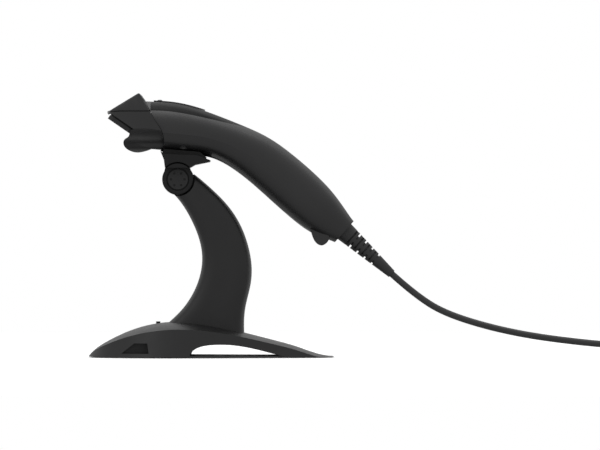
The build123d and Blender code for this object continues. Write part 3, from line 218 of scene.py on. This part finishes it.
PLUG = Finish("plug_plastic", (0.010, 0.010, 0.0105), roughness=0.48, grain_mm=0.4)

NODE_FINISHES: dict[str, Finish] = {
    "base_cover": STAND, "base_plate": COATED, "base_ballast": IRON, "base_feet": RUBBER,
    "base_screws": STEEL,
    "arm_left_shell": STAND, "arm_right_shell": STAND, "arm_shell_screws": STEEL, "arm_foot_screws": STEEL,
    "pivot_bolt": STEEL, "pivot_nut": STEEL, "friction_washers": WASHER, "left_pivot_cap": STAND,
    "right_pivot_cap": STAND, "cradle": CRADLE_PAINTED_SHADE, "cradle_pad": RUBBER, "cradle_magnet": STEEL, "hood": HOOD,
    "front_bezel": SHELL, "window_rim": RUBBER, "scan_window": WINDOW, "chin_bumper": RUBBER,
    "sensor_lens": GLOSS, "upper_shell": SHELL, "lower_shell": SHELL, "top_inlay": GLOSS,
    "trigger_button": TRIGGER, "trigger_pin": STEEL,
    "status_light": LIGHT_GUIDE, "label_plate": LABEL, "rear_foot": SHELL, "housing_screws": STEEL,
    "main_board": BOARD, "beeper": NYLON, "cord_jack": NYLON, "switch_board": BOARD, "status_lamp": LIGHT_GUIDE,
    "trigger_switch": NYLON, "engine_chassis": NYLON, "laser_module": BRASS, "scan_mirror": MIRROR,
    "mirror_coil": COPPER, "detector_board": BOARD, "strain_relief": BOOT, "cord": CORD, "cord_tail": CORD,
    "cord_coil": CORD, "cord_tie": TAPE, "plug_overmould": PLUG, "plug_shell": STEEL, "plug_tongue": NYLON,
}


def dress(piece: bpy.types.Object, finish: Finish) -> None:
    """Give a piece or a node one finish.

    Args:
        piece: The mesh or curve object.
        finish: The finish to build and assign.
    """
    material = finish.build()
    if piece.data.materials:
        for slot in piece.material_slots:
            slot.material = material
    else:
        piece.data.materials.append(material)


def dress_frame() -> None:
    """Give every node of the frame its finish."""
    for name, node in NODES.items():
        dress(node, NODE_FINISHES[name])
        LOG.info("node %s dressed in %s", name, NODE_FINISHES[name].name)


# ---- mesh work ------------------------------------------------------------
def deselect() -> None:
    """Deselect every object."""
    for item in bpy.context.selected_objects:
        item.select_set(False)


# ---- cord -----------------------------------------------------------------
@dataclass
class CordRun:
    """The free cord: its route, its put-away coil of two flat rows, and the short end to the plug."""

    radius: float = 2.5 * MM
    length: float = 1.5
    route_mm: Sequence[tuple[float, float, float]] = (
        (133.8, 0, 61.7), (152.5, 0, 44.9), (176.5, 0, 30.9), (221.0, -2.5, 18.4), (269.0, -2.0, 11.4),
        (317.0, 0, 7.5))
    tail_mm: Sequence[tuple[float, float, float]] = (
        (364.0, 46.0, 3.0), (364.0, 55.0, 4.2), (364.0, 63.0, 4.2))
    coil_centre_mm: tuple[float, float] = (329.0, 35.0)
    outer_turn_mm: float = 35.0
    turns_in_row: int = 4
    points_per_turn: int = 18

    def coil_turn(self, turned: float) -> tuple[float, float]:
        """Place the cord in the coil: inwards along the upper row, down, and outwards along the lower.

        Args:
            turned: Turns made since the cord joined the coil.

        Returns:
            Radius from the coil's centre and height above the floor, in millimetres.
        """
        pitch = 2 * self.radius / MM
        index, share = int(turned), turned - int(turned)
        last_upper = self.turns_in_row - 1
        thirds = [min(max(3 * share - third, 0.0), 1.0) for third in range(3)]
        first, middle, last = [third * third * (3 - 2 * third) for third in thirds]
        if index < last_upper:
            return self.outer_turn_mm - pitch * (index + last), 1.5 * pitch
        inner_turn = self.outer_turn_mm - pitch * last_upper
        if index == last_upper:
            return inner_turn, pitch * (1.5 - middle)
        return min(inner_turn + pitch * (index - last_upper - 1 + first), self.outer_turn_mm), 0.5 * pitch

    def coil_points(self) -> list[tuple[float, float, float]]:
        """Work out the coil's turns, each a cord's thickness beside or above the last.

        Returns:
            Control points in millimetres, from where the cord joins the coil to where it leaves.
        """
        centre_x, centre_y = self.coil_centre_mm
        turns = 2 * self.turns_in_row - 0.75
        steps = round(self.points_per_turn * turns)
        swell = 1 / math.cos(math.pi / self.points_per_turn)
        points = []
        for step in range(steps + 1):
            turned = turns * step / steps
            radius, height = self.coil_turn(turned)
            angle = 2 * math.pi * (turned - 0.25)
            points.append((centre_x + radius * swell * math.cos(angle),
                           centre_y + radius * swell * math.sin(angle), height))
        return points

    def build(self) -> bpy.types.Object:
        """Lay the cord as one smooth spline with a round section.

        Returns:
            The cord's curve object.
        """
        points = [*self.route_mm, *self.coil_points(), *self.tail_mm]
        curve = bpy.data.curves.new("cord_flex", "CURVE")
        curve.dimensions = "3D"
        curve.bevel_depth = self.radius
        curve.bevel_resolution = 5
        curve.resolution_u = 8
        curve.use_fill_caps = True
        spline = curve.splines.new("NURBS")
        spline.points.add(len(points) - 1)
        for control, place in zip(spline.points, points):
            control.co = (*[value * MM for value in place], 1.0)
        spline.order_u = 3
        spline.use_endpoint_u = True
        cord = bpy.data.objects.new("cord_flex", curve)
        bpy.context.collection.objects.link(cord)
        dress(cord, CORD)
        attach(cord, "scanner")
        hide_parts("cord", "cord_tail", "cord_coil")
        LOG.info("cord of %d control points", len(points))
        return cord


# ---- modelled pieces ------------------------------------------------------
def apply_all(piece: bpy.types.Object) -> None:
    """Apply every modifier of a piece, in order.

    Args:
        piece: The mesh object.
    """
    bpy.context.view_layer.objects.active = piece
    for modifier in list(piece.modifiers):
        bpy.ops.object.modifier_apply(modifier=modifier.name)


def settle(piece: bpy.types.Object, name: str, finish: Finish, body: str) -> None:
    """Bring a piece home: origin at zero, normals outward, smooth shading, finish and body.

    Args:
        piece: The finished mesh object.
        name: Its name.
        finish: Its finish.
        body: The body that it rides on.
    """
    deselect()
    piece.select_set(True)
    bpy.context.view_layer.objects.active = piece
    bpy.ops.object.transform_apply(location=True, rotation=True, scale=True)
    bpy.ops.object.mode_set(mode="EDIT")
    bpy.ops.mesh.select_all(action="SELECT")
    bpy.ops.mesh.remove_doubles(threshold=WELD)
    bpy.ops.mesh.normals_make_consistent(inside=False)
    bpy.ops.object.mode_set(mode="OBJECT")
    bpy.ops.object.shade_smooth_by_angle(angle=math.radians(SMOOTH_DEGREES))
    piece.name = name
    dress(piece, finish)
    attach(piece, body)
    LOG.info("piece %s of %d faces", name, len(piece.data.polygons))


@dataclass
class SoftEdged:
    """A moulded node remade with its sharp edges rounded, as a mould leaves them."""

    node: str
    name: str
    body: str
    slot: str
    rounding: float = 0.6 * MM
    steps: int = 3
    sharp_degrees: float = 32.0
    flat_degrees: float = 0.6

    def build(self) -> bpy.types.Object:
        """Copy the node, join its loose triangles and round its edges.

        Returns:
            The rounded piece, which stands for the node.
        """
        source = NODES[self.node]
        deselect()
        piece = bpy.data.objects.new(self.name, source.data.copy())
        bpy.context.collection.objects.link(piece)
        piece.select_set(True)
        bpy.context.view_layer.objects.active = piece
        bpy.ops.object.mode_set(mode="EDIT")
        bpy.ops.mesh.select_all(action="SELECT")
        bpy.ops.mesh.remove_doubles(threshold=2 * WELD)
        bpy.ops.mesh.dissolve_limited(angle_limit=math.radians(self.flat_degrees))
        bpy.ops.object.mode_set(mode="OBJECT")
        edge = piece.modifiers.new("edge", "BEVEL")
        edge.width = self.rounding
        edge.segments = self.steps
        edge.limit_method = "ANGLE"
        edge.angle_limit = math.radians(self.sharp_degrees)
        edge.use_clamp_overlap = False
        edge.harden_normals = False
        apply_all(piece)
        settle(piece, self.name, NODE_FINISHES[self.node], self.body)
        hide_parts(self.node)
        return piece


@dataclass
class CoilTie:
    """Hook-and-loop tie, one flat band with rounded corners round the coil's turns."""

    width: float = 9.0 * MM
    thickness: float = 0.9 * MM
    rounding: float = 2.2 * MM
    edge: float = 0.25 * MM

    def build(self) -> bpy.types.Object:
        """Wrap the band round the turns inside the node's box.

        Returns:
            The tie.
        """
        low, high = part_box("cord_tie")
        middle = (low + high) / 2
        deselect()
        bpy.ops.mesh.primitive_plane_add(size=1.0, location=middle, rotation=(math.pi / 2, 0.0, math.pi / 2))
        tie = bpy.context.object
        tie.scale = (high.y - low.y, high.z - low.z - self.thickness, 1.0)
        bpy.ops.object.transform_apply(location=True, rotation=True, scale=True)
        bpy.ops.object.mode_set(mode="EDIT")
        bpy.ops.mesh.select_all(action="SELECT")
        bpy.ops.mesh.bevel(offset=self.rounding, segments=6, affect="VERTICES")
        bpy.ops.mesh.delete(type="ONLY_FACE")
        bpy.ops.mesh.select_all(action="SELECT")
        bpy.ops.mesh.extrude_edges_move(TRANSFORM_OT_translate={"value": (self.width, 0.0, 0.0)})
        bpy.ops.mesh.select_all(action="SELECT")
        bpy.ops.transform.translate(value=(-self.width / 2, 0.0, 0.0))
        bpy.ops.object.mode_set(mode="OBJECT")
        solid = tie.modifiers.new("wall", "SOLIDIFY")
        solid.thickness = self.thickness
        solid.offset = 0.0
        edge = tie.modifiers.new("edge", "BEVEL")
        edge.width = self.edge
        edge.segments = 2
        apply_all(tie)
        settle(tie, "coil_tie_band", TAPE, "scanner")
        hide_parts("cord_tie")
        return tie


@dataclass
class PlugBody:
    """Moulded plug body with a ribbed grip, stepped down to the cord at its entry."""

    cuts: Sequence[float] = (0.16, 0.22, 0.30, 0.38, 0.46, 0.54, 0.62, 0.70)
    entry_end: float = 0.10
    step_end: float = 0.20
    entry_width: float = 0.62
    step_width: float = 0.80
    grip: tuple[float, float] = (0.25, 0.66)
    rib_pitch: float = 0.08
    rib_depth: float = 0.5 * MM
    edge: float = 1.1 * MM

    def build(self) -> bpy.types.Object:
        """Shape the plug inside the node's box.

        Returns:
            The plug body.
        """
        low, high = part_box("plug_overmould")
        middle = (low + high) / 2
        size = high - low
        deselect()
        bpy.ops.mesh.primitive_cube_add(size=1.0, location=middle)
        plug = bpy.context.object
        plug.scale = size
        bpy.ops.object.transform_apply(location=True, rotation=True, scale=True)
        mesh = plug.data
        for share in self.cuts:
            self.cut(plug, low.y + share * size.y)
        self.taper(mesh, low, middle, size)
        edge = plug.modifiers.new("edge", "BEVEL")
        edge.width = self.edge
        edge.segments = 4
        edge.limit_method = "ANGLE"
        edge.angle_limit = math.radians(50)
        apply_all(plug)
        settle(plug, "usb_plug_body", PLUG, "scanner")
        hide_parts("plug_overmould")
        return plug

    @staticmethod
    def cut(plug: bpy.types.Object, place: float) -> None:
        """Cut an edge ring round the plug at one place along it.

        Args:
            plug: The plug's object.
            place: Where the ring lies along Y.
        """
        deselect()
        plug.select_set(True)
        bpy.context.view_layer.objects.active = plug
        bpy.ops.object.mode_set(mode="EDIT")
        bpy.ops.mesh.select_all(action="SELECT")
        bpy.ops.mesh.bisect(plane_co=(0.0, place, 0.0), plane_no=(0.0, 1.0, 0.0))
        bpy.ops.object.mode_set(mode="OBJECT")

    def taper(self, mesh: bpy.types.Mesh, low: Vector, middle: Vector, size: Vector) -> None:
        """Narrow the cord end and waist every second ring of the grip.

        Args:
            mesh: The plug's mesh, which is changed.
            low: The plug's lowest corner.
            middle: Its middle.
            size: Its size.
        """
        grip_start, grip_end = self.grip
        for point in mesh.vertices:
            share = (point.co.y - low.y) / size.y
            width = 1.0
            if share < self.entry_end:
                width = self.entry_width
            elif share < self.step_end:
                width = self.step_width
            elif grip_start < share < grip_end and round(share / self.rib_pitch) % 2 == 0:
                width = 1.0 - 2 * self.rib_depth / size.x
            point.co.x = middle.x + (point.co.x - middle.x) * width
            point.co.z = middle.z + (point.co.z - middle.z) * (width if share < grip_start else 1.0)


# ---- studio ---------------------------------------------------------------
@dataclass
class Studio:
    """Camera, floor, world and lights."""

    distance: float = 6.17
    frame_width: float = 0.444
    sensor_mm: float = 36.0
    aim: tuple[float, float] = (0.0659, 0.0979)
    lamp_aim: tuple[float, float, float] = (0.0, 0.0, 0.12)
    floor_radius: float = 1.4
    sky: Sequence[tuple[float, float]] = ((0.0, 0.60), (0.30, 0.76), (0.46, 0.82), (0.54, 0.88), (1.0, 1.05))

    def camera(self) -> None:
        """Set a long lens level with the scanner, square to the object's side."""
        data = bpy.data.cameras.new("camera")
        data.sensor_width = self.sensor_mm
        data.lens = self.sensor_mm * self.distance / self.frame_width
        data.clip_end = 50.0
        camera = bpy.data.objects.new("camera", data)
        bpy.context.collection.objects.link(camera)
        camera.location = (self.aim[0], -self.distance, self.aim[1])
        camera.rotation_euler = (math.pi / 2, 0.0, 0.0)
        bpy.context.scene.camera = camera

    def floor(self) -> None:
        """Lay a plain white floor."""
        deselect()
        bpy.ops.mesh.primitive_circle_add(vertices=96, radius=self.floor_radius, fill_type="NGON",
                                          location=(self.aim[0], 0.0, 0.0))
        floor = bpy.context.object
        floor.name = "floor"
        material = bpy.data.materials.new("floor_white")
        material.use_nodes = True
        shader = material.node_tree.nodes["Principled BSDF"]
        shader.inputs["Base Color"].default_value = (0.95, 0.95, 0.95, 1.0)
        shader.inputs["Roughness"].default_value = 0.9
        shader.inputs["Specular IOR Level"].default_value = 0.0
        floor.data.materials.append(material)
        floor.visible_diffuse = False
        floor.visible_glossy = False

    def world(self) -> None:
        """Give the lens plain white surroundings, and the object a sky that is darker below the horizon."""
        world = bpy.data.worlds.new("studio")
        bpy.context.scene.world = world
        world.use_nodes = True
        tree = world.node_tree
        background = tree.nodes["Background"]
        place = tree.nodes.new("ShaderNodeTexCoord")
        split = tree.nodes.new("ShaderNodeSeparateXYZ")
        span = tree.nodes.new("ShaderNodeMapRange")
        span.inputs["From Min"].default_value = -1.0
        ramp = tree.nodes.new("ShaderNodeValToRGB")
        elements = ramp.color_ramp.elements
        while len(elements) < len(self.sky):
            elements.new(0.5)
        for element, (position, level) in zip(elements, self.sky):
            element.position = position
            element.color = (level, level, level, 1.0)
        path = tree.nodes.new("ShaderNodeLightPath")
        plain = tree.nodes.new("ShaderNodeBackground")
        plain.inputs["Color"].default_value = (1.0, 1.0, 1.0, 1.0)
        mix = tree.nodes.new("ShaderNodeMixShader")
        tree.links.new(place.outputs["Generated"], split.inputs["Vector"])
        tree.links.new(split.outputs["Z"], span.inputs["Value"])
        tree.links.new(span.outputs["Result"], ramp.inputs["Fac"])
        tree.links.new(ramp.outputs["Color"], background.inputs["Color"])
        tree.links.new(path.outputs["Is Camera Ray"], mix.inputs["Fac"])
        tree.links.new(background.outputs["Background"], mix.inputs[1])
        tree.links.new(plain.outputs["Background"], mix.inputs[2])
        tree.links.new(mix.outputs["Shader"], tree.nodes["World Output"].inputs["Surface"])

    def lamp(self, name: str, place: tuple[float, float, float], size: float, power: float) -> None:
        """Hang one soft square lamp aimed at the scanner.

        Args:
            name: The lamp's name.
            place: Where it hangs.
            size: Its side.
            power: Its power in watts.
        """
        data = bpy.data.lights.new(name, "AREA")
        data.shape = "SQUARE"
        data.size = size
        data.energy = power
        lamp = bpy.data.objects.new(name, data)
        bpy.context.collection.objects.link(lamp)
        lamp.location = place
        aim = Vector(self.lamp_aim) - Vector(place)
        lamp.rotation_euler = aim.to_track_quat("-Z", "Y").to_euler()

    def build(self) -> None:
        """Make the whole studio."""
        bpy.context.scene.view_settings.view_transform = "Standard"
        self.camera()
        self.floor()
        self.world()
        self.lamp("overhead", (0.1, 0.2, 1.6), 1.2, 9.0)
        self.lamp("front_left", (-1.0, -1.2, 1.1), 0.8, 4.0)


SOFT_EDGED = (
    SoftEdged("hood", "hood_rounded", "scanner", "hood_plastic", rounding=1.1 * MM, steps=4),
)


def main() -> None:
    """Build the studio, dress the frame and add the modelled pieces."""
    logging.basicConfig(level=logging.INFO, format="%(message)s")
    Studio().build()
    dress_frame()
    for piece in SOFT_EDGED:
        piece.build()
    cord_run = CordRun()
    cord = cord_run.build()
    plug_nodes = [NODES[name] for name in ("strain_relief", "plug_shell", "plug_tongue")]
    plug_nodes += [PlugBody().build(), CoilTie().build()]


if __name__ == "__main__":
    main()
